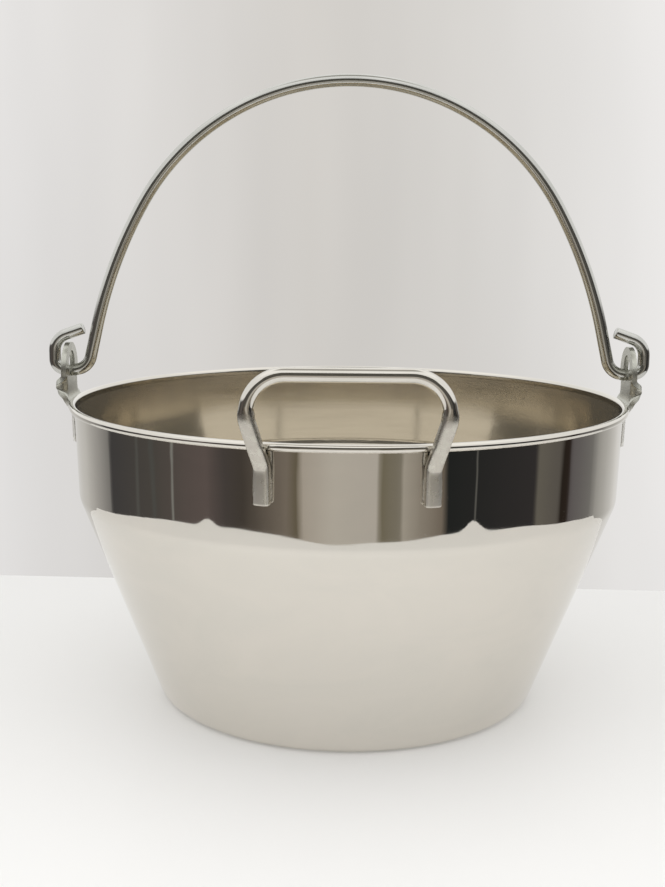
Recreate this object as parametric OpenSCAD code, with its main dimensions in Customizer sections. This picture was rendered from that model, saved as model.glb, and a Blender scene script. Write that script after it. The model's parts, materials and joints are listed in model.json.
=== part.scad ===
// Ten-litre stainless steel milk pail: a deep-drawn body with a rolled rim, two stamped ears
// that carry a swinging wire bail, and one rigid wire grip welded to the front.
// The origin is the centre of the base, on the surface it stands on. +Z is up, X runs along
// the bail's pivot axis, and the grip is on the -Y side. Sizes are in millimetres.

/* [Pail body] */
// Diameter across the middle of the rolled rim
rim_d = 310; // [300:1:320]
// Height from the base to the top of the rim
pail_h = 170; // [160:1:180]
// Height of the straight band, from its lower bend to the rim
band_h = 52; // [45:1:60]
// How much the band widens from its lower bend to the rim, on the radius
band_draw = 1.5; // [0.5:0.1:3]
// Diameter at which the cone's outer side would meet the floor
base_d = 216; // [200:1:226]
// Radius of the corner between base and cone, at the middle of the sheet
base_round = 8; // [6:0.5:12]
// Radius of the bend between cone and band, at the middle of the sheet
shoulder_round = 16; // [10:1:24]
// Thickness of the body's sheet
sheet_t = 1; // [0.8:0.1:1.2]
// Outer diameter of the rolled rim
bead_d = 4; // [4:0.2:4.6]

/* [Ears] */
// Width of an ear, which is also the diameter of its round head
ear_w = 31.6; // [29:0.2:32]
// Thickness of an ear's plate
ear_t = 2.8; // [2:0.1:3]
// Height of the bail's pivot axis above the rim
pivot_rise = 14.4; // [14:0.2:16]
// Diameter of the eye that the bail hangs in
eye_d = 14.5; // [13.5:0.1:15]
// Clear gap between the rolled rim and the ear's plate
ear_gap = 1.4; // [1.3:0.1:2]
// Distance from the rim down to the lower end of the ear's strap
strap_drop = 25; // [22:1:30]
// Depth of the stiffening flanges on the ear's neck, plate included
flange_depth = 6; // [4:0.1:6.2]

/* [Bail] */
// Height of the top of the bail's centre line above the pivot axis
bail_rise = 161; // [155:1:170]
// Diameter of the bail's wire
bail_wire_d = 7; // [6.4:0.1:7.2]
// Diameter of the wire in the hooks
hook_wire_d = 6.6; // [6:0.1:6.8]
// Half the angle that the crown's arc covers
crown_half_angle = 60; // [56:1:62]
// Radius of the flatter arc on each side of the crown
side_r = 254; // [240:1:270]
// Slope of the wire where the side arcs end, from level
side_slope = 76.8; // [75:0.1:79]
// Radius of the bend from the sides into the eyes
lead_bend = 10; // [8:0.5:11]
// Farthest point of a hook's wire beyond the outer face of the ear
hook_reach = 10; // [9.8:0.1:10.6]
// Height of the hook's cut end above the pivot axis
hook_tip_rise = 23.8; // [23.6:0.1:25]

/* [Front grip] */
// Diameter of the grip's wire
grip_wire_d = 7; // [6:0.1:7.4]
// Distance between the legs at their widest, centre to centre
grip_span = 91; // [84:1:100]
// Distance between the feet, centre to centre
foot_span = 78; // [70:1:82]
// Height of the grip's bar above the rim, at the wire's centre
grip_rise = 32; // [28:1:36]
// Radius of the grip's corners at the wire's centre
grip_corner = 18; // [12:1:19]
// Length of the flattened feet
foot_l = 18; // [15:0.5:19]
// Thickness of the flattened feet
foot_t = 5.6; // [4.5:0.1:6]
// Distance from the rim down to the lower end of the feet
foot_drop = 29; // [27:0.5:32]
// Height above the rim where the legs stop leaning outward and stand upright
shoulder_rise = 12; // [10:0.5:14]
// How far the bar's centre stands out beyond the rolled rim, on the radius through a leg
grip_reach = 9; // [7.5:0.5:11]

/* [Welds] */
// Diameter of the weld beads
weld_d = 2.4; // [2:0.1:3]

/* [Hidden] */
$fn = 72;

steel = [0.80, 0.79, 0.76];
wire_steel = [0.72, 0.71, 0.67];
weld_grey = [0.58, 0.56, 0.52];

rim_r = rim_d / 2;
curl_r = (bead_d - sheet_t) / 2;          // radius of the rim's curl at the middle of the sheet
curl_z = pail_h - bead_d / 2;
curl_end = -112;                          // the curl closes here, a hair short of the band
band_angle = atan(band_draw / band_h);
band_top_r = rim_r - curl_r;              // the band at the middle of its sheet, at the curl
band_foot = [band_top_r - band_draw, pail_h - band_h];
cone_foot = [base_d / 2 - sheet_t / 2, sheet_t / 2];

pivot_z = pail_h + pivot_rise;
ear_x = rim_r + bead_d / 2 + ear_gap;     // inner face of an ear's plate
ear_out = ear_x + ear_t;
flange_t = 2.4;
flange_r = 3.2;                           // rounding of a flange's upper corner
flange_top = -3.2;                        // heights of a flange's corners from the pivot axis
flange_waist = -11.2;
flange_foot = -13.6;
eye_play = 0.2;                           // gap under the wire where it hangs in the eye
eye_z = pivot_z + (eye_d - hook_wire_d) / 2 - eye_play;
strap_angle = asin(ear_w / 2 / (ear_x - bead_d));

side_bead_l = 15;                         // weld bead up each side of an ear's strap

leg_gap = 0.9;                            // clear gap between the grip's legs and the rolled rim
knee_lift = 0.5;                          // the top of a foot stands this far off the band

hook_bend = 6;                            // bend from the eye into the hook's upright
hook_top_bend = 10;
hook_x = ear_out + hook_reach - hook_wire_d / 2;      // centre of the hook's upright
hook_tip_x = ear_x - 7.4;
hook_slope = 19.5;                         // the cut end rises at this angle
lead_end_x = ear_x - 1.4;                 // the wire is straight from here through the eye

rod_sides = 16;

// Body radius at the band's outer face, at height z
function band_r(z) = band_foot[0] + sheet_t / 2 / cos(band_angle) + (z - band_foot[1]) * tan(band_angle);

function unit(v) = v / norm(v);

// Points of a bend of radius r that rounds the corner b between a and c, in 2-D or 3-D
function bend(a, b, c, r, n) =
    let (u = unit(a - b), v = unit(c - b), half = acos(u * v) / 2,
         o = b + unit(u + v) * r / sin(half),
         e1 = unit(b + u * r / tan(half) - o),
         to_end = unit(b + v * r / tan(half) - o),
         e2 = unit(to_end - e1 * (e1 * to_end)))
    [for (i = [0:n]) let (turn = (180 - 2 * half) * i / n) o + r * (cos(turn) * e1 + sin(turn) * e2)];

// A route through corners, each but the first and last rounded by its own radius
function route(corners, radii, n) =
    let (last = len(corners) - 1)
    [corners[0],
     for (i = [1:last - 1]) each bend(corners[i - 1], corners[i], corners[i + 1], radii[i - 1], n),
     corners[last]];

// Outline of a strip of thickness t that follows a 2-D path on its middle line
function left_of(v) = [-v[1], v[0]];
function heading(path, i) = unit(path[i + 1] - path[i]);
function beside(path, i, d) =
    let (before = left_of(heading(path, max(i - 1, 0))),
         after = left_of(heading(path, min(i, len(path) - 2))),
         mitre = unit(before + after))
    path[i] + mitre * d / (mitre * before);
function strip(path, t) =
    let (last = len(path) - 1)
    concat([for (i = [0:last]) beside(path, i, t / 2)],
           [for (i = [last:-1:0]) beside(path, i, -t / 2)]);

// ---- pail body ----

function curl_path() =
    [for (i = [0:24]) let (a = 180 - band_angle - (180 - band_angle - curl_end) * i / 24)
        [rim_r + curl_r * cos(a), curl_z + curl_r * sin(a)]];

module pail_body() {
    band_top = curl_path()[0];
    wall = route([[0, sheet_t / 2], cone_foot, band_foot, band_top], [base_round, shoulder_round], 8);
    path = concat([for (i = [0:len(wall) - 2]) wall[i]], curl_path());
    color(steel) rotate_extrude() polygon(strip(path, sheet_t));
}

// ---- ears ----

// Turns the (radius, height) plane upright at the +X side and sweeps it over +-a degrees
module sector(a) {
    rotate([0, 0, -a]) rotate_extrude(angle = 2 * a, $fn = 240) children();
}

// The strap lies on the band, passes outside the rolled rim and meets the upright plate
module ear_strap() {
    mid = ear_t / 2;
    foot_z = pail_h - strap_drop;
    knee_z = pail_h - 7.5;
    neck_z = pail_h - 0.8;
    path = route([[band_r(foot_z) + mid + 0.05, foot_z], [band_r(knee_z) + mid + 0.05, knee_z],
                  [ear_x + mid, neck_z], [ear_x + mid, pail_h + 3]], [2, 2], 4);
    sector(strap_angle) polygon(strip(path, ear_t));
}

// One side of the neck, turned outward: rounded at the top and narrower toward the rim
module ear_flange() {
    translate([ear_x, flange_t / 2, pivot_z]) rotate([90, 0, 0]) linear_extrude(flange_t) {
        translate([flange_depth - flange_r, flange_top - flange_r]) circle(r = flange_r);
        polygon([[0, flange_top], [flange_depth - flange_r, flange_top],
                 [flange_depth, flange_top - flange_r], [flange_depth - 2.2, flange_waist],
                 [ear_t - 0.4, flange_foot], [0, flange_foot]]);
    }
}

module ear() {
    color(steel) difference() {
        union() {
            translate([ear_x, 0, pivot_z]) rotate([0, 90, 0]) cylinder(d = ear_w, h = ear_t);
            translate([ear_x, -ear_w / 2, pail_h]) cube([ear_t, ear_w, pivot_rise]);
            ear_strap();
            for (side = [-1, 1]) translate([0, side * (ear_w - flange_t) / 2, 0]) ear_flange();
        }
        translate([ear_x - 1, 0, eye_z]) rotate([0, 90, 0]) cylinder(d = eye_d, h = ear_t + 2);
    }
}

module left_ear() { mirror([1, 0, 0]) ear(); }
module right_ear() { ear(); }

// One bead runs along the strap's lower edge and one up each side of it
module ear_weld() {
    low_z = pail_h - strap_drop;
    color(weld_grey) {
        sector(strap_angle) translate([band_r(low_z) + 0.6, low_z]) circle(d = weld_d);
        for (side = [-1, 1]) rotate([0, 0, side * strap_angle])
            translate([band_r(low_z) + 0.6, 0, low_z]) rotate([0, band_angle, 0])
                cylinder(d = 0.9 * weld_d, h = side_bead_l);
    }
}

module left_ear_weld() { mirror([1, 0, 0]) ear_weld(); }
module right_ear_weld() { ear_weld(); }

// ---- front grip ----

// A point at distance r from the pail's axis and x from its middle plane, on the front side
function front(x, r, z) = [x, -sqrt(r * r - x * x), z];

// Corners of one leg's centre line, from the foot up to the bar, on the side given by sign s
foot_top = pail_h - foot_drop + foot_l;
knee_r = band_r(foot_top) + foot_t / 2 + knee_lift;
pass_r = rim_r + bead_d / 2 + grip_wire_d / 2 + leg_gap;
bar_r = rim_r + bead_d / 2 + grip_reach;
function leg_corners(s) =
    let (half_foot = s * foot_span / 2, half_bar = s * grip_span / 2, foot_z = pail_h - foot_drop,
         passed = (curl_z - foot_top) / (pail_h + shoulder_rise - foot_top))
    [front(half_foot, band_r(foot_z) + foot_t / 2 + 0.05, foot_z),
     front(half_foot, knee_r, foot_top),
     front(half_foot + (half_bar - half_foot) * passed, pass_r, curl_z),
     front(half_bar, bar_r, pail_h + shoulder_rise),
     front(half_bar, bar_r, pail_h + grip_rise)];

function grip_path() =
    let (left = leg_corners(-1), right = leg_corners(1), right_down = [for (i = [4:-1:0]) right[i]])
    route(concat(left, right_down), [5, 20, 9, grip_corner, grip_corner, 9, 20, 5], 7);

// The wire is round, and its last stretch at each end is pressed to a rounded flat
function flatness(z) = min(1, max(0, (foot_top + 1 - z) / 5));
function power(v, e) = sign(v) * pow(abs(v), e);

function grip_ring(path, i) =
    let (last = len(path) - 1, p = path[i],
         along = unit(path[min(i + 1, last)] - path[max(i - 1, 0)]),
         away = unit([p[0], p[1], 0]),
         out = unit(away - along * (away * along)),
         across = cross(along, out),
         flat = flatness(p[2]), e = 1 - 0.5 * flat,
         half_t = (grip_wire_d + (foot_t - grip_wire_d) * flat) / 2,
         half_w = grip_wire_d / 2)
    [for (k = [0:rod_sides - 1]) let (a = 360 * (k + 0.5) / rod_sides)
        p + out * half_t * power(cos(a), e) + across * half_w * power(sin(a), e)];

// A closed skin over rings of equal size
module skin(rings) {
    n = len(rings[0]);
    last = len(rings) - 1;
    polyhedron(
        points = [for (ring = rings) each ring],
        faces = concat(
            [[for (k = [0:n - 1]) k]],
            [for (i = [0:last - 1], k = [0:n - 1]) let (m = (k + 1) % n)
                each [[i * n + k, (i + 1) * n + k, (i + 1) * n + m],
                      [i * n + k, (i + 1) * n + m, i * n + m]]],
            [[for (k = [n - 1:-1:0]) last * n + k]]));
}

module grip_handle() {
    path = grip_path();
    extra = [for (t = [0.35, 0.7, 0.9]) path[0] + (path[1] - path[0]) * t];
    n = len(path);
    tail = [for (t = [0.9, 0.7, 0.35]) path[n - 1] + (path[n - 2] - path[n - 1]) * t];
    full = concat([path[0]], extra, [for (i = [1:n - 2]) path[i]], tail, [path[n - 1]]);
    color(wire_steel) skin([for (i = [0:len(full) - 1]) grip_ring(full, i)]);
}

// A bead up each side of a foot, where it lies on the band
module grip_weld(s) {
    low_z = pail_h - foot_drop + 1.5;
    turn = atan2(s * foot_span / 2, sqrt(pow(band_r(low_z), 2) - pow(foot_span / 2, 2)));
    color(weld_grey) rotate([0, 0, turn - 90]) for (side = [-1, 1])
        translate([band_r(low_z) + 0.4, side * grip_wire_d / 2, low_z]) rotate([0, band_angle, 0])
            cylinder(d = weld_d, h = foot_l - 4);
}

module left_grip_weld() { grip_weld(-1); }
module right_grip_weld() { grip_weld(1); }

// ---- bail ----

cot_slope = 1 / tan(side_slope);
// The crown's radius is the one that brings the wire down to the pivot axis just inside the ears
crown_r = (lead_end_x - side_r * (sin(side_slope) - sin(crown_half_angle)
                                  + (cos(side_slope) - cos(crown_half_angle)) * cot_slope)
           - bail_rise * cot_slope + lead_bend * (1 - cos(side_slope)) * cot_slope
           - lead_bend * sin(side_slope))
          / (sin(crown_half_angle) - (1 - cos(crown_half_angle)) * cot_slope);
crown_z = bail_rise - crown_r;
side_c = [(crown_r - side_r) * sin(crown_half_angle), crown_z + (crown_r - side_r) * cos(crown_half_angle)];
side_end = side_c + side_r * [sin(side_slope), cos(side_slope)];
lead_l = (side_end[1] - lead_bend * (1 - cos(side_slope))) / sin(side_slope);
tip_start_x = hook_x - hook_top_bend * (1 - sin(hook_slope));
tip_l = (tip_start_x - hook_tip_x) / cos(hook_slope);
upright_top = hook_tip_rise - tip_l * sin(hook_slope) - hook_top_bend * cos(hook_slope);

// Wire of diameter d bent round the centre c, from angle a0 to a1, in the plane of the bail
module wire_arc(c, r, a0, a1, d) {
    translate([c[0], 0, c[1]]) rotate([90, 0, 0]) rotate([0, 0, a0])
        rotate_extrude(angle = a1 - a0) translate([r, 0]) circle(d = d);
}

// Straight wire from p along the direction a degrees above +X, in the plane of the bail
module wire_run(p, a, l, d1, d2) {
    translate([p[0], 0, p[1]]) rotate([0, 90 - a, 0]) cylinder(d1 = d1, d2 = d2, h = l);
}

// A ball a hair wider than the wire makes one solid of the two stretches that meet at p
module wire_joint(p, d) {
    translate([p[0], 0, p[1]]) sphere(d = d + 0.1);
}

// One side of the bail, from the crown's end round the lead bend, through the eye and the hook
module bail_side() {
    crown_end = [crown_r * sin(crown_half_angle), crown_z + crown_r * cos(crown_half_angle)];
    lead_start = side_end + lead_l * [cos(side_slope), -sin(side_slope)];
    run_l = hook_x - hook_bend - lead_end_x;
    top_c = [hook_x - hook_top_bend, upright_top];
    tip_start = top_c + hook_top_bend * [sin(hook_slope), cos(hook_slope)];
    wire_arc(side_c, side_r, 90 - side_slope, 90 - crown_half_angle, bail_wire_d);
    wire_run(side_end, -side_slope, lead_l, bail_wire_d, hook_wire_d);
    wire_arc([lead_end_x, lead_bend], lead_bend, 270 - side_slope, 270, hook_wire_d);
    wire_run([lead_end_x, 0], 0, run_l, hook_wire_d, hook_wire_d);
    wire_arc([hook_x - hook_bend, hook_bend], hook_bend, 270, 360, hook_wire_d);
    wire_run([hook_x, hook_bend], 90, upright_top - hook_bend, hook_wire_d, hook_wire_d);
    wire_arc(top_c, hook_top_bend, 0, 90 - hook_slope, hook_wire_d);
    wire_run(tip_start, 180 - hook_slope, tip_l, hook_wire_d, hook_wire_d);
    for (p = [crown_end, side_end]) wire_joint(p, bail_wire_d);
    for (p = [lead_start, [lead_end_x, 0], [hook_x - hook_bend, 0], [hook_x, hook_bend],
              [hook_x, upright_top], tip_start]) wire_joint(p, hook_wire_d);
}

module bail() {
    color(wire_steel) translate([0, 0, pivot_z]) {
        wire_arc([0, crown_z], crown_r, 90 - crown_half_angle, 90 + crown_half_angle, bail_wire_d);
        bail_side();
        mirror([1, 0, 0]) bail_side();
    }
}

pail_body();
left_ear();
right_ear();
left_ear_weld();
right_ear_weld();
grip_handle();
left_grip_weld();
right_grip_weld();
bail();
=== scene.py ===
import json
import math

import bpy
import numpy as np
from mathutils import Matrix, Vector, noise


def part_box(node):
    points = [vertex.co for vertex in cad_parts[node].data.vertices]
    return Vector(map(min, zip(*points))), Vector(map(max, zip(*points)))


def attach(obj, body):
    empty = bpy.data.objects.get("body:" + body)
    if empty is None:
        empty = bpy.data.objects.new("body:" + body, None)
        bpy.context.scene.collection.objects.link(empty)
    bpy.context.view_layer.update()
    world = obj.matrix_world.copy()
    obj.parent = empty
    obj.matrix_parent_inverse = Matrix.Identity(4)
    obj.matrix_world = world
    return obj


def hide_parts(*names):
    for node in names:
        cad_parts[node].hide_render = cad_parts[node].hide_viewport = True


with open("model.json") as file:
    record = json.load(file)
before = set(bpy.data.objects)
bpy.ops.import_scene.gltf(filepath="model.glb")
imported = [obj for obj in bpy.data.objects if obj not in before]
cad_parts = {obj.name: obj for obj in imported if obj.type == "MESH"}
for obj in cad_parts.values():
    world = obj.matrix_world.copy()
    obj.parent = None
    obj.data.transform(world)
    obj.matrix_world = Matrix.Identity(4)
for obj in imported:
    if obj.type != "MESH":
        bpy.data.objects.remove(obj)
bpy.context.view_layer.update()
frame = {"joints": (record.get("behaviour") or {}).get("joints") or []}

# Lengths in the helpers are millimetres, and MM turns them into metres.
MM = 0.001


# ---- sizes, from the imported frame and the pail's own drawing ----

_, body_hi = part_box("pail_body")
SHEET = 1.0
BEAD_R = 2.0  # the rolled rim, over its outside
CURL_R = (2 * BEAD_R - SHEET) / 2  # the rolled rim, to the middle of the sheet
RIM_R = min(body_hi.x, body_hi.y) / MM - BEAD_R
HEIGHT = body_hi.z / MM
RIM_Z = HEIGHT - BEAD_R
BASE_R = 108.0
BASE_BEND_R, BAND_BEND_R = 8.0, 16.0
BAND_H = 52.0
BAND_DRAW = 1.5  # how much the band widens from its foot to the rim
BAND_ANGLE = math.atan(BAND_DRAW / BAND_H)
BAND_FOOT = np.array([RIM_R - CURL_R - BAND_DRAW, HEIGHT - BAND_H])
PIVOT_Z = frame["joints"][0]["pos_m"][2] / MM
EAR_X = 158.4
EAR_T = 2.8
EAR_HEAD = 15.8  # radius of the ear's round top
EYE_R = 7.25
STRAP_FOOT_Z = HEIGHT - 25.0
FOOT_SPAN = 78.0
GRIP_WIRE_D = 7.0
SHOULDER_Z = HEIGHT + 12.0
BAIL_D = 6.92
HOOK_D = 6.6
LIE_GAP = 0.05  # a formed piece lies this far off the sheet


def band_r(z):
    """Outer radius of the band at height z."""
    outside_foot = BAND_FOOT[0] + SHEET / 2 / math.cos(BAND_ANGLE)
    return outside_foot + (z - BAND_FOOT[1]) * math.tan(BAND_ANGLE)


def smooth_step(a, b, x):
    t = min(1.0, max(0.0, (x - a) / (b - a)))
    return t * t * (3 - 2 * t)


# ---- paths ----

def unit(v):
    return v / np.linalg.norm(v)


def bend(a, b, c, r, n):
    """Points of a bend of radius r that rounds the corner b between a and c."""
    u, v = unit(a - b), unit(c - b)
    half = math.acos(max(-1.0, min(1.0, float(u @ v)))) / 2
    o = b + unit(u + v) * r / math.sin(half)
    e1 = unit(b + u * r / math.tan(half) - o)
    to_end = unit(b + v * r / math.tan(half) - o)
    e2 = unit(to_end - e1 * (e1 @ to_end))
    turn = math.pi - 2 * half
    turned = [turn * i / n for i in range(n + 1)]
    return [o + r * (math.cos(t) * e1 + math.sin(t) * e2) for t in turned]


def route(corners, radii, n):
    """Straight runs between the corners, with a bend at each corner but the first and last."""
    corners = [np.asarray(c, float) for c in corners]
    points = [corners[0]]
    for i in range(1, len(corners) - 1):
        points += bend(corners[i - 1], corners[i], corners[i + 1], radii[i - 1], n)
    return points + [corners[-1]]


def arc(cx, cz, r, a0, a1, n):
    turned = [a0 + (a1 - a0) * i / n for i in range(n + 1)]
    return [np.array([cx + r * math.cos(a), cz + r * math.sin(a)]) for a in turned]


def densify(points, step):
    """The same path with points no further apart than step."""
    out = [points[0]]
    for a, b in zip(points[:-1], points[1:]):
        n = max(1, int(math.ceil(np.linalg.norm(b - a) / step)))
        out += [a + (b - a) * k / n for k in range(1, n + 1)]
    return np.array(out)


def lengths(points):
    """Distance along the path at each of its points."""
    steps = np.linalg.norm(np.diff(points, axis=0), axis=1)
    return np.concatenate([[0.0], np.cumsum(steps)])


def ease_out(n):
    """n steps of a quarter turn, without its start."""
    return np.linspace(0, math.pi / 2, n + 1)[1:]


def away(p):
    """Unit vector from the pail's axis to the point."""
    return np.array([p[0], p[1], 0.0]) / math.hypot(p[0], p[1])


# ---- meshes ----

WIRE_GIRTH = 22.0  # round a wire, for its texture
SHELL_GIRTH = 942.0  # round the pail, for its texture


def mesh_object(name, verts, faces, materials, face_material=None, uvs=None, sharp=35):
    """verts in millimetres; uvs holds one (u, v) in millimetres per corner of each face."""
    mesh = bpy.data.meshes.new(name)
    mesh.from_pydata([tuple(float(c) * MM for c in v) for v in verts], [], faces)
    for m in materials:
        mesh.materials.append(m)
    if face_material is not None:
        mesh.polygons.foreach_set("material_index", face_material)
    if uvs is not None:
        layer = mesh.uv_layers.new(name="along")
        layer.data.foreach_set("uv", (np.array(uvs, float).reshape(-1) * MM).tolist())
    smooth(mesh, sharp)
    obj = bpy.data.objects.new(name, mesh)
    bpy.context.scene.collection.objects.link(obj)
    return obj


def smooth(mesh, sharp):
    """Smooth shading, with an edge where two faces turn by more than sharp degrees."""
    mesh.polygons.foreach_set("use_smooth", [True] * len(mesh.polygons))
    mesh.update()
    mesh.set_sharp_from_angle(angle=math.radians(sharp))


def tube(name, points, outs, sections, material, sharp):
    """A closed skin over one section per point. A section is a list of (out, across) offsets."""
    points = np.asarray(points, float)
    n, m = len(points), len(sections[0])
    run = lengths(points)
    girth = WIRE_GIRTH / m
    verts, faces, uvs = [], [], []
    for i in range(n):
        along = unit(points[min(i + 1, n - 1)] - points[max(i - 1, 0)])
        out = unit(outs[i] - along * (along @ outs[i]))
        across = np.cross(along, out)
        for a, b in sections[i]:
            verts.append(points[i] + out * a + across * b)
    for i in range(n - 1):
        for k in range(m):
            k2 = (k + 1) % m
            faces.append((i * m + k, i * m + k2, (i + 1) * m + k2, (i + 1) * m + k))
            uvs += [(run[i], k * girth), (run[i], (k + 1) * girth),
                    (run[i + 1], (k + 1) * girth), (run[i + 1], k * girth)]
    for end, ring in ((0, 0), (1, (n - 1) * m)):
        centre = len(verts)
        verts.append(points[-1] if end else points[0])
        for k in range(m):
            k2 = (k + 1) % m
            faces.append((centre, ring + k, ring + k2) if end else (centre, ring + k2, ring + k))
            uvs += [(run[-1] * end, 0.0)] * 3
    return mesh_object(name, verts, faces, [material], uvs=uvs, sharp=sharp)


def round_section(r, sides):
    turned = [2 * math.pi * k / sides for k in range(sides)]
    return [(r * math.cos(a), r * math.sin(a)) for a in turned]


def apply_modifiers(obj):
    graph = bpy.context.evaluated_depsgraph_get()
    mesh = bpy.data.meshes.new_from_object(obj.evaluated_get(graph))
    obj.modifiers.clear()
    obj.data = mesh


def join(objects, name, sharp):
    """One object from several meshes that share their materials."""
    verts, faces, uvs, base = [], [], [], 0
    for o in objects:
        verts += [tuple(c / MM for c in v.co) for v in o.data.vertices]
        faces += [tuple(base + i for i in p.vertices) for p in o.data.polygons]
        uvs += [tuple(c / MM for c in loop.uv) for loop in o.data.uv_layers[0].data]
        base += len(o.data.vertices)
    materials = list(objects[0].data.materials)
    for o in objects:
        bpy.data.objects.remove(o)
    return mesh_object(name, verts, faces, materials, uvs=uvs, sharp=sharp)


# ---- node helper ----

class Graph:
    """Short calls for building node trees. A linked value is a socket; anything else is a
    constant. A constant colour has three parts."""

    def __init__(self, tree):
        self.tree = tree
        tree.nodes.clear()

    def add(self, kind, inputs=None, out=0, **settings):
        """A new node's output, or the node itself where out is None."""
        node = self.tree.nodes.new(kind)
        for key, value in settings.items():
            setattr(node, key, value)
        for key, value in (inputs or {}).items():
            socket = node.inputs[key]
            if isinstance(value, bpy.types.NodeSocket):
                self.tree.links.new(value, socket)
            else:
                socket.default_value = value
        return node.outputs[out] if out is not None else node

    def math(self, op, a, b=0.0):
        return self.add("ShaderNodeMath", {0: a, 1: b}, operation=op)

    def times(self, a, b):
        return self.math("MULTIPLY", a, b)

    def vec(self, x, y, z=0.0):
        return self.add("ShaderNodeCombineXYZ", {0: x, 1: y, 2: z})

    def scaled(self, parts, factors):
        """A vector of the parts, each times its factor."""
        return self.vec(*[self.times(p, f) for p, f in zip(parts, factors)])

    def split(self, v):
        return self.add("ShaderNodeSeparateXYZ", {0: v}, out=None).outputs[0:3]

    def position(self):
        """Place on the object, in metres."""
        return self.add("ShaderNodeTexCoord", out=3)

    def along(self):
        """Distance along and across the piece, from its own unrolled map."""
        return self.split(self.add("ShaderNodeUVMap", uv_map="along"))[0:2]

    def noise(self, v, scale, detail=2.0, rough=0.5, distortion=0.0):
        return self.add("ShaderNodeTexNoise", {"Vector": v, "Scale": scale, "Detail": detail,
                                               "Roughness": rough, "Distortion": distortion})

    def fit(self, v, a, b, lo, hi, kind="LINEAR"):
        """lo where v is a, hi where v is b, and neither beyond them."""
        return self.add("ShaderNodeMapRange", {"Value": v, "From Min": a, "From Max": b,
                                               "To Min": lo, "To Max": hi}, interpolation_type=kind)

    def ramp(self, v, stops):
        node = self.add("ShaderNodeValToRGB", {0: v}, out=None)
        ramp = node.color_ramp
        while len(ramp.elements) > 1:
            ramp.elements.remove(ramp.elements[-1])
        for i, (place, colour) in enumerate(stops):
            e = ramp.elements[0] if i == 0 else ramp.elements.new(place)
            e.position = place
            e.color = (*colour, 1.0)
        return node.outputs[0]

    def mix(self, f, a, b):
        a, b = [(*c, 1.0) if isinstance(c, tuple) else c for c in (a, b)]
        return self.add("ShaderNodeMix", {0: f, 6: a, 7: b}, out=2, data_type="RGBA")

    def turn_into(self, v, lo, hi, a, b, kind="LINEAR"):
        """Colour a where v is lo, turning into b where v is hi."""
        return self.mix(self.fit(v, lo, hi, 0.0, 1.0, kind), a, b)

    def bump(self, height, distance):
        return self.add("ShaderNodeBump", {"Height": height, "Distance": distance, "Strength": 1.0})


# ---- materials ----

def new_material(name):
    m = bpy.data.materials.new(name)
    m.use_nodes = True
    return m, Graph(m.node_tree)


def finish_material(g, **inputs):
    names = {k.replace("_", " "): v for k, v in inputs.items()}
    shader = g.add("ShaderNodeBsdfPrincipled", names)
    g.add("ShaderNodeOutputMaterial", {"Surface": shader}, out=None)


def mirror_steel():
    """Polished sheet: fine rings from the buffing wheel, faint wipe marks and a few dust specks."""
    m, g = new_material("mirror_steel")
    obj = g.position()
    x, y, z = g.split(obj)
    up_wall = g.along()[1]
    rings = g.noise(g.scaled((x, y, up_wall), (9.0, 9.0, 900.0)), 1.0, 3.0, 0.6)
    wipes = g.noise(g.scaled((x, y, z), (14.0, 14.0, 34.0)), 1.0, 4.0, 0.6, 1.2)
    specks = g.noise(obj, 900.0, 1.0, 0.5)
    rough = g.math("ADD", g.fit(wipes, 0.35, 0.75, 0.012, 0.035),
                   g.fit(specks, 0.78, 0.84, 0.0, 0.10))
    tint = g.turn_into(wipes, 0.3, 0.8, (0.74, 0.705, 0.645), (0.70, 0.675, 0.62))
    finish_material(g, Base_Color=tint, Metallic=1.0, Roughness=rough,
                    Normal=g.bump(rings, 0.0000008))
    return m


def satin_steel():
    """The inside, brushed round the pail."""
    m, g = new_material("satin_steel")
    x, y, _ = g.split(g.position())
    up_wall = g.along()[1]
    fine = g.noise(g.scaled((x, y, up_wall), (22.0, 22.0, 2600.0)), 1.0, 4.0, 0.65)
    broad = g.noise(g.scaled((x, y, up_wall), (10.0, 10.0, 160.0)), 1.0, 3.0, 0.6)
    rough = g.fit(broad, 0.3, 0.7, 0.07, 0.12)
    tint = g.turn_into(fine, 0.3, 0.7, (0.66, 0.61, 0.52), (0.73, 0.68, 0.585))
    tangent = g.add("ShaderNodeTangent", direction_type="RADIAL", axis="Z")
    finish_material(g, Base_Color=tint, Metallic=0.94, Roughness=rough,
                    Anisotropic=0.7, Anisotropic_Rotation=0.25, Tangent=tangent,
                    Normal=g.bump(fine, 0.0000015))
    return m


def wire_steel(name, light, dark, rough_lo, rough_hi, draw, pressed_below=None):
    """Drawn wire: fine lines along its length, duller spells where it was handled, and where the
    press flattened it, below a given height in millimetres, a matt grey face."""
    m, g = new_material(name)
    obj = g.position()
    lines = g.noise(g.scaled(g.along(), (28.0, 900.0)), 1.0, 1.0, 0.5)
    spells = g.noise(obj, 42.0, 4.0, 0.6)
    rough = g.fit(spells, 0.35, 0.7, rough_lo, rough_hi)
    tint = g.turn_into(g.math("ADD", spells, g.times(lines, 0.2)), 0.35, 0.85, light, dark)
    if pressed_below is not None:
        top, fade = pressed_below * MM, 3 * MM
        pressed = g.fit(g.split(obj)[2], top, top - fade, 0.0, 1.0)
        mottle = g.noise(obj, 260.0, 3.0, 0.6)
        rough = g.math("ADD", rough, g.times(pressed, g.fit(mottle, 0.3, 0.7, 0.16, 0.26)))
        face = g.turn_into(mottle, 0.3, 0.7, (0.60, 0.58, 0.515), (0.54, 0.505, 0.455))
        tint = g.mix(pressed, tint, face)
    finish_material(g, Base_Color=tint, Metallic=1.0, Roughness=rough, Normal=g.bump(lines, draw))
    return m


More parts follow.
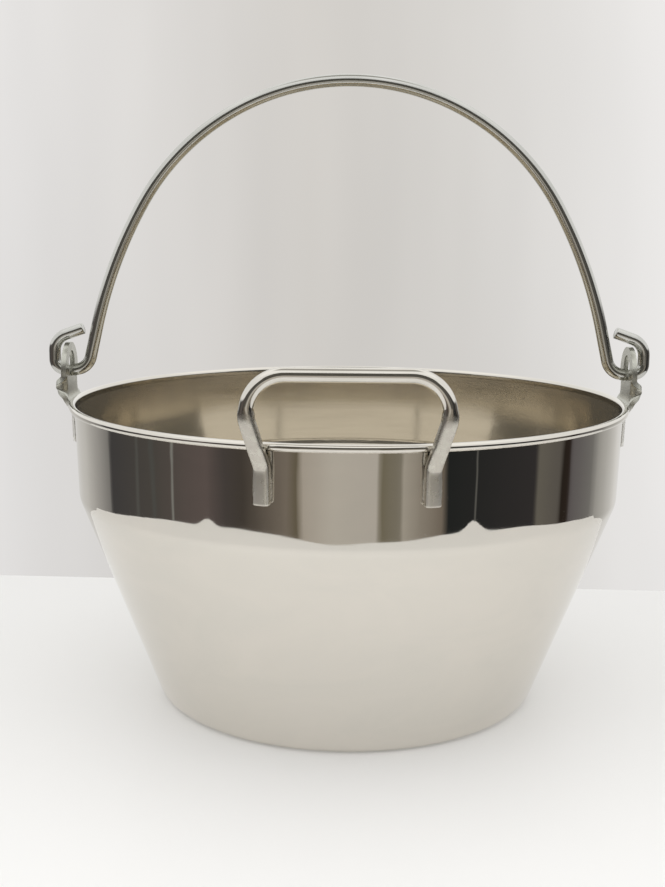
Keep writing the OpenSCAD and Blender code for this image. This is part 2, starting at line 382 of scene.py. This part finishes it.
def ear_steel():
    """Pressed plate, tumbled bright: soft pits above the rim, and a pale matt strap below it.
    The strap's pale tone is a painted reflection, standing in for the white the polished strap
    mirrors."""
    m, g = new_material("ear_steel")
    obj = g.position()
    pits = g.noise(obj, 1400.0, 3.0, 0.6)
    broad = g.noise(obj, 90.0, 3.0, 0.6)
    strap = g.fit(g.split(obj)[2], (HEIGHT - 1) * MM, (HEIGHT - 5) * MM, 0.0, 1.0)
    plate_tint = g.turn_into(pits, 0.35, 0.7, (0.58, 0.58, 0.52), (0.48, 0.48, 0.43))
    # Painted reflection: the strap is given a pale, half-matt colour in place of the white it
    # mirrors
    strap_painted_reflection = g.turn_into(pits, 0.35, 0.7, (0.86, 0.85, 0.82), (0.78, 0.77, 0.74))
    rough = g.math("ADD", g.fit(broad, 0.3, 0.7, 0.28, 0.40), g.times(strap, 0.15))
    finish_material(g, Base_Color=g.mix(strap, plate_tint, strap_painted_reflection),
                    Metallic=g.fit(strap, 0.0, 1.0, 1.0, 0.5), Roughness=rough,
                    Normal=g.bump(pits, 0.000012))
    return m


def weld_steel():
    """Weld metal, cleaned: rougher than the sheet, with straw and grey tints."""
    m, g = new_material("weld_steel")
    obj = g.position()
    grain = g.noise(obj, 1100.0, 4.0, 0.65)
    heat = g.noise(obj, 220.0, 2.0, 0.5)
    tint = g.ramp(heat, [(0.3, (0.40, 0.38, 0.34)), (0.5, (0.52, 0.48, 0.41)),
                         (0.7, (0.46, 0.45, 0.43))])
    finish_material(g, Base_Color=tint, Metallic=1.0, Roughness=g.fit(grain, 0.3, 0.7, 0.28, 0.48),
                    Normal=g.bump(grain, 0.00003))
    return m


MIRROR = mirror_steel()
SATIN = satin_steel()
GRIP_WIRE = wire_steel("grip_wire", (0.74, 0.71, 0.655), (0.67, 0.645, 0.59), 0.05, 0.10,
                       draw=0.0000002, pressed_below=SHOULDER_Z + 4.5)
BAIL_WIRE = wire_steel("bail_wire", (0.62, 0.615, 0.585), (0.53, 0.53, 0.50), 0.09, 0.15, draw=0.0)
EAR_PLATE = ear_steel()
WELD = weld_steel()


# ---- pail body ----

def pail_path():
    """The sheet's middle line in (radius, height), from the middle of the base to the end of the
    rim's curl, and how many of its points come before the curl."""
    curl = arc(RIM_R, RIM_Z, CURL_R, math.pi - BAND_ANGLE, math.radians(-112), 40)
    corners = [[0.0, SHEET / 2], [BASE_R - SHEET / 2, SHEET / 2], BAND_FOOT, curl[0]]
    wall = densify(route(corners, [BASE_BEND_R, BAND_BEND_R], 28), 2.5)
    return np.vstack([wall[:-1], curl]), len(wall) - 1


def unevenness(a, z):
    """How far the drawn sheet strays from a true circle at an angle and a height. The base and
    the rim stay true."""
    amount = smooth_step(4, 30, z) * (1 - smooth_step(HEIGHT - 14, HEIGHT - 4, z))
    if amount <= 0:
        return 0.0
    broad = Vector((math.cos(a) * 2.6, math.sin(a) * 2.6, z / 60.0))
    fine = Vector((math.cos(a) * 7.0 + 9.0, math.sin(a) * 7.0, z / 34.0))
    return amount * (0.10 * noise.noise(broad) + 0.035 * noise.noise(fine))


def pail_body():
    """The path thickened into a closed profile and turned round the pail's axis. The wall inside
    is satin, and all the rest is mirror."""
    path, first_curl = pail_path()
    n = len(path)
    run = lengths(path)
    normals = [[0.0, 1.0]]
    for i in range(1, n):
        d = unit(path[min(i + 1, n - 1)] - path[i - 1])
        normals.append([-d[1], d[0]])
    offset = np.array(normals) * SHEET / 2
    profile = np.vstack([path - offset, (path + offset)[::-1]])
    reach = np.concatenate([run, run[::-1]])
    finish = [0] * n + [1 if i < first_curl - 1 else 0 for i in range(n - 1, -1, -1)]
    turns = 400
    angles = np.arange(turns) * 2 * math.pi / turns
    verts, index = [], []
    for r, z in profile:
        if r < 1e-6:
            index.append([len(verts)] * turns)
            verts.append((0.0, 0.0, z))
            continue
        index.append(list(range(len(verts), len(verts) + turns)))
        for a in angles:
            wave = unevenness(a, z)
            verts.append(((r + wave) * math.cos(a), (r + wave) * math.sin(a), z))
    around = SHELL_GIRTH / turns
    faces, mats, uvs = [], [], []
    for k in range(len(profile) - 1):
        for j in range(turns):
            j2 = (j + 1) % turns
            ring = (index[k][j], index[k][j2], index[k + 1][j2], index[k + 1][j])
            spots = [(j * around, reach[k]), ((j + 1) * around, reach[k]),
                     ((j + 1) * around, reach[k + 1]), (j * around, reach[k + 1])]
            # The faces at the axis are triangles
            kept = [i for i in range(4) if ring[i] not in ring[:i]]
            faces.append(tuple(ring[i] for i in kept))
            uvs += [spots[i] for i in kept]
            mats.append(finish[k + 1])
    return mesh_object("pail_shell", verts, faces, [MIRROR, SATIN], mats, uvs, sharp=50)


# ---- ears ----

# Places on the flat blank are (across, height above the pivot).
FLANGE_START, FLANGE_R, FLANGE_TURN = 12.2, 2.2, math.radians(86)
STRAP_CORNER = 3.0
NECK_V = -9.0  # where the rings round the eye give way to rows down the strap


def ear_path():
    """The plate's middle line in (radius, height), from its top down to the strap's lower end."""
    ear_mid = EAR_X + EAR_T / 2
    knee_z = HEIGHT - 7.5
    off = EAR_T / 2 + LIE_GAP
    points = route([[ear_mid, PIVOT_Z + EAR_HEAD], [ear_mid, HEIGHT - 0.8],
                    [band_r(knee_z) + off, knee_z], [band_r(STRAP_FOOT_Z) + off, STRAP_FOOT_Z]],
                   [4.0, 5.0], 14)
    return densify(points, 0.6)


EAR_LINE = ear_path()
EAR_RUN = lengths(EAR_LINE)
EAR_END = EAR_HEAD - EAR_RUN[-1]


def on_ear_line(v):
    """Point and outward normal at v above the pivot along the plate (negative below it)."""
    s = min(max(EAR_HEAD - v, 0.0), EAR_RUN[-1])
    i = min(int(np.searchsorted(EAR_RUN, s, side="right")) - 1, len(EAR_LINE) - 2)
    a, b = EAR_LINE[i], EAR_LINE[i + 1]
    t = (s - EAR_RUN[i]) / (EAR_RUN[i + 1] - EAR_RUN[i])
    lo, hi = max(i - 2, 0), min(i + 3, len(EAR_LINE) - 1)
    d = unit(EAR_LINE[hi] - EAR_LINE[lo])
    return a + (b - a) * t, np.array([-d[1], d[0]])


def ear_half(v):
    """Half of the flat blank's width at v: a round head, a neck that is wider for its flanges,
    and a strap with rounded lower corners."""
    if v >= 0:
        return math.sqrt(max(EAR_HEAD ** 2 - v ** 2, 0.0))
    swell = 2.1 * smooth_step(-2.6, -6.8, v) * (1 - smooth_step(-8.0, -14.5, v))
    half = EAR_HEAD + swell
    low = v - EAR_END
    if low < STRAP_CORNER:
        half -= STRAP_CORNER - math.sqrt(max(STRAP_CORNER ** 2 - (STRAP_CORNER - low) ** 2, 0.0))
    return half


def ear_point(u, v):
    """A place on the blank, formed: the neck's edges turned out into flanges, the plate bent
    along its line, and the strap wrapped round the band."""
    theta = FLANGE_TURN * smooth_step(-2.4, -7.4, v) * (1 - smooth_step(-9.0, -15.0, v))
    side, y, h = (1 if u >= 0 else -1), abs(u), 0.0
    past = y - FLANGE_START
    if past > 0:
        turned = min(past / FLANGE_R, theta)
        rest = max(past - FLANGE_R * theta, 0.0)
        y = FLANGE_START + FLANGE_R * math.sin(turned) + rest * math.cos(theta)
        h = FLANGE_R * (1 - math.cos(turned)) + rest * math.sin(theta)
    p, normal = on_ear_line(v)
    r, z = p + normal * h
    y *= side
    wrap = 1 - smooth_step(HEIGHT - 1.5, HEIGHT + 5.0, z)
    turn = y / max(r, 1.0)
    return np.array([(1 - wrap) * r + wrap * r * math.cos(turn),
                     (1 - wrap) * y + wrap * r * math.sin(turn), z])


def ear_blank():
    """Flat points and faces: rings from the eye out to the edge, then rows down the strap."""
    eye_v = EYE_R - HOOK_D / 2 - 0.2
    half_turn = np.linspace(0, math.pi, 61)
    head = [(ear_half(0) * math.cos(t), EAR_HEAD * math.sin(t)) for t in half_turn]
    steps = 10
    edge = [(ear_half(NECK_V * k / steps), NECK_V * k / steps) for k in range(1, steps)]
    columns = np.linspace(-1, 1, 33)
    loop = head + [(-u, v) for u, v in edge]
    first_column = len(loop)
    loop += [(c * ear_half(NECK_V), NECK_V) for c in columns] + edge[::-1]
    m, rings = len(loop), 14
    flat, faces = [], []
    for ring in range(rings + 1):
        t = ring / rings
        for u, v in loop:
            a = math.atan2(v - eye_v, u)
            eye = (EYE_R * math.cos(a), eye_v + EYE_R * math.sin(a))
            flat.append((eye[0] + (u - eye[0]) * t, eye[1] + (v - eye[1]) * t))
    for ring in range(rings):
        for k in range(m):
            k2 = (k + 1) % m
            faces.append((ring * m + k, ring * m + k2, (ring + 1) * m + k2, (ring + 1) * m + k))
    row = [rings * m + first_column + k for k in range(len(columns))]
    tail = 3.2  # the rows crowd together over this length, at the rounded corners
    levels = list(np.linspace(NECK_V, EAR_END + tail, 40)[1:])
    levels += [EAR_END + tail * (1 - math.sin(t)) for t in ease_out(8)]
    for v in levels:
        half = max(ear_half(v), EAR_HEAD - STRAP_CORNER)
        new = list(range(len(flat), len(flat) + len(columns)))
        flat += [(c * half, v) for c in columns]
        faces += [(row[k], row[k + 1], new[k + 1], new[k]) for k in range(len(columns) - 1)]
        row = new
    return flat, faces


def ear(name, sign):
    flat, faces = ear_blank()
    verts = [ear_point(u, v) * np.array([sign, 1, 1]) for u, v in flat]
    obj = mesh_object(name, verts, faces, [EAR_PLATE])
    thick = obj.modifiers.new("thick", "SOLIDIFY")
    thick.thickness, thick.offset, thick.use_even_offset = EAR_T * MM, 0.0, True
    edge = obj.modifiers.new("edge", "BEVEL")
    edge.width, edge.segments = 0.45 * MM, 3
    edge.limit_method, edge.angle_limit = "ANGLE", math.radians(50)
    apply_modifiers(obj)
    smooth(obj.data, 40)
    return obj


# ---- welds ----

def bead(name, points, r, pitch, seed):
    """A weld bead: a run of overlapping ripples that thins out at both ends."""
    points = densify([np.asarray(p, float) for p in points], 0.22)
    run = lengths(points)
    fade_l = 1.6
    sections = []
    for s in run:
        fade = min(1.0, math.sqrt(max(0.02, min(s, run[-1] - s) / fade_l)))
        phase = (s / pitch) % 1.0
        ripple = 1 + 0.10 * (phase - 0.5) - 0.16 * math.exp(-((phase - 0.04) / 0.10) ** 2)
        wander = 1 + 0.12 * noise.noise(Vector((s * 0.35, seed, 0.0)))
        sections.append(round_section(r * fade * ripple * wander, 16))
    return tube(name, points, [away(p) for p in points], sections, WELD, sharp=60)


def ear_weld(name, sign):
    """Round the lower part of the strap, down one side, across and up the other."""
    half, low = EAR_HEAD + 0.5, STRAP_FOOT_Z
    flat = [(half, low + 14.5), (half, low + STRAP_CORNER)]
    flat += [(half - STRAP_CORNER + STRAP_CORNER * math.cos(t),
              low + STRAP_CORNER - STRAP_CORNER * math.sin(t)) for t in ease_out(6)]
    flat += [(-u, z) for u, z in reversed(flat)]
    points = []
    for u, z in densify([np.array(p) for p in flat], 0.5):
        r = band_r(z) + 0.45
        points.append(np.array([sign * r * math.cos(u / r), r * math.sin(u / r), z]))
    return bead(name, points, 1.1, 1.5, seed=3.0 if sign > 0 else 8.0)


def on_front(x, r, z):
    """The point in front of the pail's axis, at x, a radius and a height."""
    return np.array([x, -math.sqrt(r * r - x * x), z])


def grip_weld(name, sign):
    """One bead down each side of a foot."""
    foot_x = sign * FOOT_SPAN / 2
    made = []
    for k, side in enumerate((-1, 1)):
        x = foot_x + side * 3.55
        heights = np.linspace(HEIGHT - 27.0, HEIGHT - 15.6, 12)
        points = [on_front(x, band_r(z) + 0.4, z) for z in heights]
        made.append(bead(f"{name}_{k}", points, 1.0, 1.3, seed=20.0 + 3 * k + sign))
    return join(made, name, sharp=60)


# ---- front grip ----

def grip():
    """A wire frame with pressed feet on the band, legs that clear the rim, and a bar above it."""
    foot_low, foot_top = HEIGHT - 29.0, HEIGHT - 11.0
    foot_t = 5.6
    bar_half, bar_r, bar_z = 45.5, RIM_R + BEAD_R + 9.0, HEIGHT + 32.0
    rim_gap, knee_lift = 0.9, 0.5

    def leg(s):
        foot, bar = s * FOOT_SPAN / 2, s * bar_half
        passing = foot + (bar - foot) * (RIM_Z - foot_top) / (SHOULDER_Z - foot_top)
        return [on_front(foot, band_r(foot_low) + foot_t / 2 + LIE_GAP, foot_low),
                on_front(foot, band_r(foot_top) + foot_t / 2 + knee_lift, foot_top),
                on_front(passing, RIM_R + BEAD_R + GRIP_WIRE_D / 2 + rim_gap, RIM_Z),
                on_front(bar, bar_r, SHOULDER_Z),
                on_front(bar, bar_r, bar_z)]

    leg_bends = [7, 20, 14, 17.5]
    points = densify(route(leg(-1) + leg(1)[::-1], leg_bends + leg_bends[::-1], 20), 1.0)
    d0, d1 = unit(points[1] - points[0]), unit(points[-2] - points[-1])
    # Each end's chamfer: distance from the end, and how much thinner the wire is there
    chamfer = [(0.0, 0.45), (0.12, 0.22), (0.28, 0.08), (0.45, 0.0)]
    head = [points[0] + d0 * t for t, _ in chamfer]
    tail = [points[-1] + d1 * t for t, _ in reversed(chamfer)]
    points = np.array(head + list(points[1:-1]) + tail)
    n, sides = len(points), 48
    sections = []
    for i, p in enumerate(points):
        pressed = smooth_step(SHOULDER_Z + 5.5, SHOULDER_Z + 1.5, p[2])
        flat = 0.5 * pressed + 0.5 * smooth_step(foot_top + 2.5, foot_top - 3, p[2])
        power = 1 - 0.5 * flat
        from_end = min(i, n - 1 - i)
        cut = chamfer[from_end][1] if from_end < len(chamfer) else 0.0
        half_t = (GRIP_WIRE_D + (foot_t - GRIP_WIRE_D) * flat) / 2 - cut
        half_w = GRIP_WIRE_D / 2 + 0.35 * pressed - cut
        ring = []
        for k in range(sides):
            a = 2 * math.pi * (k + 0.5) / sides
            c, s = math.cos(a), math.sin(a)
            ring.append((half_t * math.copysign(abs(c) ** power, c),
                         half_w * math.copysign(abs(s) ** power, s)))
        sections.append(ring)
    outs = [away(p) for p in points]
    return tube("grip_wire_frame", points, outs, sections, GRIP_WIRE, sharp=40)


# ---- bail ----

def bail_line():
    """The right half of the wire in (x, height above the pivot), from the crown to the hook's
    tip, and the point where the side ends and the hook's lead-in begins."""
    crown_half, side_slope = math.radians(60), math.radians(76.8)
    side_r, lead_bend, rise = 254.0, 10.0, 161.0
    hook_x = EAR_X + EAR_T + 10.0 - HOOK_D / 2
    hook_bend, top_bend, slope = 6.0, 10.0, math.radians(19.5)
    tip_rise, tip_x, lead_x = 23.8, EAR_X - 7.4, EAR_X - 1.4
    # The crown's radius is the one that brings the side down onto the lead-in
    cot = 1 / math.tan(side_slope)
    side_reach = side_r * (math.sin(side_slope) - math.sin(crown_half)
                           + (math.cos(side_slope) - math.cos(crown_half)) * cot)
    lead_reach = lead_bend * (1 - math.cos(side_slope)) * cot - lead_bend * math.sin(side_slope)
    crown_r = (lead_x - side_reach - rise * cot + lead_reach) \
        / (math.sin(crown_half) - (1 - math.cos(crown_half)) * cot)
    crown_z = rise - crown_r
    side_cx = (crown_r - side_r) * math.sin(crown_half)
    side_cz = crown_z + (crown_r - side_r) * math.cos(crown_half)
    q = math.pi / 2
    pts = arc(0, crown_z, crown_r, q, q - crown_half, 90)
    pts += arc(side_cx, side_cz, side_r, q - crown_half, q - side_slope, 40)[1:]
    side_end = pts[-1]
    pts += arc(lead_x, lead_bend, lead_bend, 3 * q - side_slope, 3 * q, 24)
    pts += arc(hook_x - hook_bend, hook_bend, hook_bend, -q, 0, 24)
    tip_start = hook_x - top_bend * (1 - math.sin(slope))
    tip_l = (tip_start - tip_x) / math.cos(slope)
    upright = tip_rise - tip_l * math.sin(slope) - top_bend * math.cos(slope)
    pts += arc(hook_x - top_bend, upright, top_bend, 0, q - slope, 28)
    pts.append(np.array([tip_x, tip_rise]))
    return densify(pts, 1.6), side_end


def bail():
    """The bow and its two hooks, one wire, drawn a little thinner where the hooks are bent."""
    right, side_end = bail_line()
    run = lengths(right)
    lead_at = run[[np.allclose(p, side_end) for p in right].index(True)]
    thinned = [smooth_step(lead_at, lead_at + 60.0, s) for s in run]
    radii = [(BAIL_D + (HOOK_D - BAIL_D) * t) / 2 for t in thinned]
    path = [(np.array([x, 0.0, PIVOT_Z + z]), r) for (x, z), r in zip(right, radii)]
    left = [(p * np.array([-1, 1, 1]), r) for p, r in path[1:]][::-1]
    whole = left + path
    (first, first_r), (last, last_r) = whole[0], whole[-1]
    d0, d1 = unit(whole[1][0] - first), unit(whole[-2][0] - last)
    # Each end's chamfer: distance from the end, and how much smaller the radius is there
    chamfer = [(0.0, 0.55), (0.10, 0.30), (0.28, 0.10), (0.60, 0.0)]
    head = [(first + d0 * t, first_r - cut) for t, cut in chamfer]
    tail = [(last + d1 * t, last_r - cut) for t, cut in reversed(chamfer)]
    whole = head + whole[1:-1] + tail
    points = [p for p, _ in whole]
    sections = [round_section(r, 40) for _, r in whole]
    outs = [np.array([0.0, -1.0, 0.0])] * len(points)
    return tube("bail_wire_bow", points, outs, sections, BAIL_WIRE, sharp=40)


# ---- put the pieces in the frame ----

def place(obj, body, node, slot):
    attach(obj, body)
    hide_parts(node)


place(pail_body(), "pail", "pail_body", "pail_steel")
place(ear("ear_plate_left", -1), "pail", "left_ear", "ear_steel")
place(ear("ear_plate_right", 1), "pail", "right_ear", "ear_steel")
place(ear_weld("ear_bead_left", -1), "pail", "left_ear_weld", "weld_steel")
place(ear_weld("ear_bead_right", 1), "pail", "right_ear_weld", "weld_steel")
place(grip(), "pail", "grip_handle", "grip_steel")
place(grip_weld("grip_bead_left", -1), "pail", "left_grip_weld", "weld_steel")
place(grip_weld("grip_bead_right", 1), "pail", "right_grip_weld", "weld_steel")
place(bail(), "bail", "bail", "bail_steel")


# ---- stage, in metres ----

def stage_plane(name, corners, colour, rough):
    m, g = new_material(name)
    cloud = g.noise(g.position(), 3.0, 3.0, 0.5)
    tone = g.turn_into(cloud, 0.3, 0.7, tuple(c * 0.985 for c in colour), colour)
    finish_material(g, Base_Color=tone, Roughness=rough)
    mesh = bpy.data.meshes.new(name)
    mesh.from_pydata(corners, [], [tuple(range(len(corners)))])
    mesh.materials.append(m)
    plane = bpy.data.objects.new(name, mesh)
    bpy.context.scene.collection.objects.link(plane)
    return plane


# The white table ends a little in front of and beside the pail, so the straight band mirrors the
# dark room past its edge. Its front is nearly round, a little flatter in the middle and drawn out
# to a point on each side: each bump has a direction in degrees, a width and a rise. The floor
# round it carries the white on to the sides of the view, and only the camera sees it.
TABLE_WHITE = (0.87, 0.865, 0.855)
TABLE_ROUGH = 0.55
TABLE_R = 0.552
TABLE_BUMPS = [(0.0, 24.0, -0.025), (44.3, 3.5, 0.033), (-49.5, 3.0, 0.022)]
BACK_Y, BACK_SLOPE = 0.2023, -0.043
FAR = 8.0


def table_edge(degrees):
    rises = [rise * math.exp(-((degrees - a) / width) ** 2) for a, width, rise in TABLE_BUMPS]
    r = TABLE_R + sum(rises)
    a = math.radians(degrees)
    return (r * math.sin(a), -r * math.cos(a), 0.0)


def table_back(x):
    return (x, BACK_Y + BACK_SLOPE * x, 0.0)


TABLE = [table_edge(-113.5 + 1.5 * i) for i in range(149)]
FLOOR = TABLE + [table_back(FAR), (FAR, -FAR, 0.0), (-FAR, -FAR, 0.0), table_back(-FAR)]
stage_plane("table_top", TABLE, TABLE_WHITE, TABLE_ROUGH)
floor = stage_plane("floor_near", FLOOR, TABLE_WHITE, TABLE_ROUGH)
floor.visible_glossy = floor.visible_diffuse = False

# A black card stands where a camera would be. Only the polished steel sees it.
CARD = [(-0.26, -0.54, 0.25), (0.30, -0.54, 0.25), (0.30, -0.56, 0.49), (-0.26, -0.56, 0.49)]
card = stage_plane("black_card", CARD, (0.09, 0.085, 0.07), 0.8)
card.visible_camera = card.visible_diffuse = card.visible_shadow = False


# ---- light: a bright room above and behind, a dark one in front of the pail ----

# Colours by direction in degrees, 0 to the front and positive to the right.
# What lies below the sky line: a cloth behind, and a dark room in front with one lit doorway
WHITE = (0.74, 0.73, 0.71)
ROOM = [
    (-180, WHITE), (-140, (0.60, 0.59, 0.57)), (-114, (0.24, 0.235, 0.23)),
    (-112, (0.062, 0.06, 0.062)), (-84, (0.085, 0.078, 0.072)), (-58, (0.13, 0.105, 0.10)),
    (-51, (0.075, 0.065, 0.062)), (-42, (0.068, 0.058, 0.05)), (-24, (0.21, 0.18, 0.15)),
    (-18.8, (0.14, 0.12, 0.08)), (-18, (0.45, 0.41, 0.36)), (-5, (0.55, 0.52, 0.47)),
    (12, (0.52, 0.49, 0.45)), (13, (0.19, 0.17, 0.12)), (21, (0.24, 0.22, 0.18)),
    (22.5, (0.42, 0.39, 0.34)), (30, (0.30, 0.27, 0.23)), (38, (0.20, 0.17, 0.14)),
    (40.5, (0.02, 0.022, 0.022)), (81, (0.038, 0.035, 0.036)), (83, (0.15, 0.14, 0.12)),
    (95, (0.12, 0.11, 0.10)), (97, (0.026, 0.02, 0.016)), (101, (0.03, 0.022, 0.018)),
    (103, (0.13, 0.12, 0.125)), (118, (0.20, 0.195, 0.19)), (124, (0.38, 0.375, 0.36)),
    (150, WHITE),
]
# Thin bright things in the room: direction, half width and brightness
STREAKS = [(-94, 1.6, 0.10), (-85, 2.0, 0.09), (-74.5, 1.0, 0.24), (52, 0.8, 0.12)]
# The sky line, direction and elevation. A ramp holds 0 to 1, so it is kept in units of 60 degrees
SKY_LINE = [(-180, 4), (-130, 4), (-100, 7), (-60, 9), (-35, 20), (-15, 27),
            (20, 27), (45, 20), (70, 9), (110, 7), (140, 4), (180, 4)]
SKY_LINE_UNIT = 60.0
FRONT_WALL = (0.10, 0.095, 0.085)
LOW_FRONT = (0.30, 0.28, 0.23)
BRIGHT_WALL = (0.97, 0.97, 0.96)
CEILING = (1.15, 1.15, 1.14)
ZENITH = (0.45, 0.44, 0.41)
BLACK = (0.0, 0.0, 0.0)
# The cloth behind the pail, from left to right: a white cloth with its light painted in, greyer in
# the middle and brightest on the right
CLOTH_PAINTED_LIGHT = [(0.0, (0.86, 0.845, 0.835)), (0.45, (0.67, 0.645, 0.61)),
         (0.65, (0.70, 0.68, 0.65)), (1.0, (1.0, 0.985, 0.975))]


def round_stops(stops):
    """Stops by direction as stops of a ramp that spans the full turn."""
    return [(0.5 + degrees / 360.0, colour) for degrees, colour in stops]


world = bpy.data.worlds.new("studio")
bpy.context.scene.world = world
world.use_nodes = True
g = Graph(world.node_tree)
direction = g.add("ShaderNodeTexCoord", out=0)
dx, dy, dz = g.split(direction)
sway = g.noise(direction, 9.0, 2.0, 0.5)
azimuth = g.math("ADD", g.math("ARCTAN2", dx, g.times(dy, -1.0)),
                 g.fit(sway, 0.0, 1.0, -0.03, 0.03))
from_front = g.math("ABSOLUTE", azimuth)
turn = g.fit(azimuth, -math.pi, math.pi, 0.0, 1.0)
elevation = g.times(g.math("ARCSINE", dz), 180 / math.pi)

room = g.ramp(turn, round_stops(ROOM))
for degrees, half_width, glow in STREAKS:
    off = g.math("ABSOLUTE", g.math("SUBTRACT", azimuth, math.radians(degrees)))
    inside = g.fit(off, 0.0, math.radians(half_width), 1.0, 0.0, "SMOOTHSTEP")
    room = g.mix(inside, room, (glow, glow, glow * 0.95))
low = g.times(g.fit(elevation, -30.0, -24.0, 1.0, 0.0), g.fit(from_front, 1.2, 1.9, 1.0, 0.0))
room = g.mix(low, room, LOW_FRONT)

# Above the doorway the front wall stays dark, and the sides open to bright walls lower down
over_door = g.times(g.fit(elevation, -8.0, -4.0, 0.0, 1.0, "SMOOTHSTEP"),
                    g.fit(from_front, 0.5, 1.2, 1.0, 0.0))
walls = g.mix(over_door, room, FRONT_WALL)
sky_line = g.ramp(turn, round_stops([(a, (h / SKY_LINE_UNIT,) * 3) for a, h in SKY_LINE]))
above = g.math("SUBTRACT", elevation, g.times(sky_line, SKY_LINE_UNIT))
lit = g.turn_into(above, -1.5, 3.5, walls, BRIGHT_WALL, "SMOOTHSTEP")
lit = g.turn_into(elevation, 42.0, 54.0, lit, CEILING, "SMOOTHSTEP")
lit = g.turn_into(elevation, 66.0, 80.0, lit, ZENITH, "SMOOTHSTEP")

# Painted shade on the cloth: darker in its folds, and a little darker lower down
painted_fold_shade = g.noise(g.vec(dx, dy, g.times(dz, 0.15)), 9.0, 2.0, 0.5)
cloth = g.ramp(g.fit(dx, -0.3, 0.3, 0.0, 1.0), CLOTH_PAINTED_LIGHT)
backdrop = g.mix(g.fit(painted_fold_shade, 0.3, 0.7, 0.0, 0.10), cloth, BLACK)
backdrop = g.mix(g.fit(dz, -0.30, 0.15, 0.08, 0.0), backdrop, BLACK)

# The steel mirrors the room, the camera sees the cloth, and the table is lit evenly from all
# round, by a soft light that the steel does not mirror
rays = g.add("ShaderNodeLightPath", out=None).outputs
shown = g.mix(rays["Is Diffuse Ray"], lit, TABLE_WHITE)
shown = g.mix(rays["Is Camera Ray"], shown, backdrop)
background = g.add("ShaderNodeBackground", {"Color": shown, "Strength": 1.0})
g.add("ShaderNodeOutputWorld", {"Surface": background}, out=None)


def area(name, place_at, look_at, size, power, shadow=True):
    light = bpy.data.lights.new(name, "AREA")
    light.shape, light.size, light.size_y = "RECTANGLE", size[0], size[1]
    light.energy, light.use_shadow = power, shadow
    obj = bpy.data.objects.new(name, light)
    obj.location = place_at
    obj.rotation_mode = "QUATERNION"
    obj.rotation_quaternion = (Vector(look_at) - Vector(place_at)).to_track_quat("-Z", "Y")
    obj.visible_camera = obj.visible_glossy = False
    bpy.context.scene.collection.objects.link(obj)


area("soft_top", (0.1, 0.25, 1.7), (0, 0, 0.1), (1.6, 1.2), 1.0)
# The pail would keep light off the table at its own foot, and this makes up for it
area("foot_fill", (0, -0.15, 0.36), (0, -0.15, 0), (0.4, 0.4), 0.62, shadow=False)


# ---- camera ----

CAMERA_AT = (-0.0004, -0.7001, 0.268)
YAW, PITCH, ROLL = -0.0119, 0.177, 0.008
level = Vector((math.cos(YAW), -math.sin(YAW), 0))
ahead = Vector((math.sin(YAW), math.cos(YAW), 0))
upright = math.sin(PITCH) * ahead + math.cos(PITCH) * Vector((0, 0, 1))
look = math.cos(PITCH) * ahead - math.sin(PITCH) * Vector((0, 0, 1))
right = math.cos(ROLL) * level + math.sin(ROLL) * upright
up = math.cos(ROLL) * upright - math.sin(ROLL) * level
scene = bpy.context.scene
camera = bpy.data.objects.new("camera", bpy.data.cameras.new("camera"))
camera.data.lens, camera.data.sensor_width = 49.95, 36.0
camera.matrix_world = Matrix([(right[i], up[i], -look[i], CAMERA_AT[i]) for i in range(3)]
                             + [(0, 0, 0, 1)])
scene.collection.objects.link(camera)
scene.camera = camera
scene.view_settings.view_transform = "Standard"
scene.view_settings.look = "None"
scene.view_settings.exposure = 0.0
